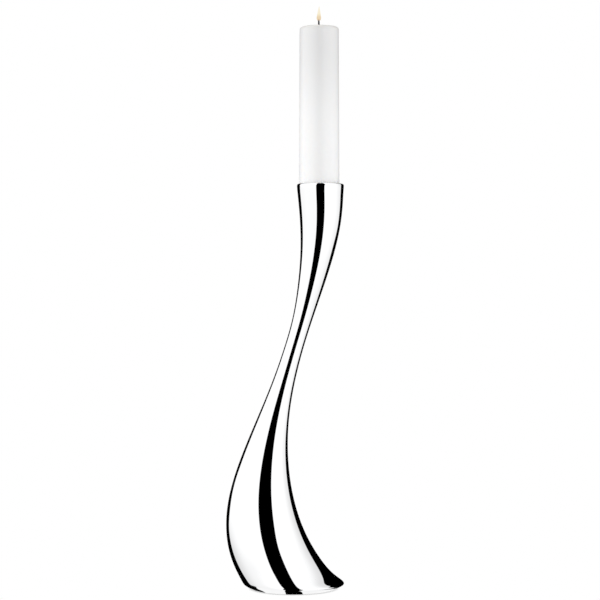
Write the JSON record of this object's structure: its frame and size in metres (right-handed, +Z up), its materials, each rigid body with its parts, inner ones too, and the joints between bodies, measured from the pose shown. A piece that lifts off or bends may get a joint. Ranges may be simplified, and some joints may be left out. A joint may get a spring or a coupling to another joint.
{
  "type": "candlestick with pillar candle",
  "caption": "Tall S-shaped mirror-polished steel candlestick on a round flared foot, with a white pillar candle that lifts off a spike in its mouth.",
  "frame": {"origin": "on the floor, at the centre of the felt under the foot", "axes": "+Z up; +X towards the side that the foot flares to and the mouth leans to; the body is symmetric about the XZ plane"},
  "size_m": [0.1749, 0.1496, 0.845],
  "materials": {
    "polished_steel": "mirror-polished stainless steel",
    "drawn_steel": "satin drawn stainless steel",
    "turned_steel": "turned stainless steel",
    "plain_steel": "plain rolled steel",
    "zinc_steel": "zinc-plated steel",
    "cast_iron": "rough casting, dark primer",
    "cork_rubber": "cork and rubber sheet",
    "felt": "black wool felt",
    "wax": "white paraffin wax",
    "wick": "braided cotton, charred at the end"
  },
  "bodies": {
    "stand": {"shell_front": "polished_steel", "shell_rear": "polished_steel", "rim_ring": "polished_steel", "candle_dish": "drawn_steel", "dish_bridge": "plain_steel", "candle_spike": "turned_steel", "spike_washer": "zinc_steel", "spike_lock_washer": "zinc_steel", "spike_nut": "zinc_steel", "base_ring": "plain_steel", "base_bosses": "zinc_steel", "base_plate": "plain_steel", "damper_sheet": "cork_rubber", "ballast": "cast_iron", "ballast_bolts": "zinc_steel", "base_screws": "zinc_steel", "felt_base": "felt"},
    "candle": {"candle_wax": "wax", "candle_wick": "wick"}
  },
  "joints": [
    {"name": "candle_lift", "type": "slide", "parent": "stand", "child": "candle", "axis": [0, 0, 1], "range_m": [0, 0.06]}
  ]
}
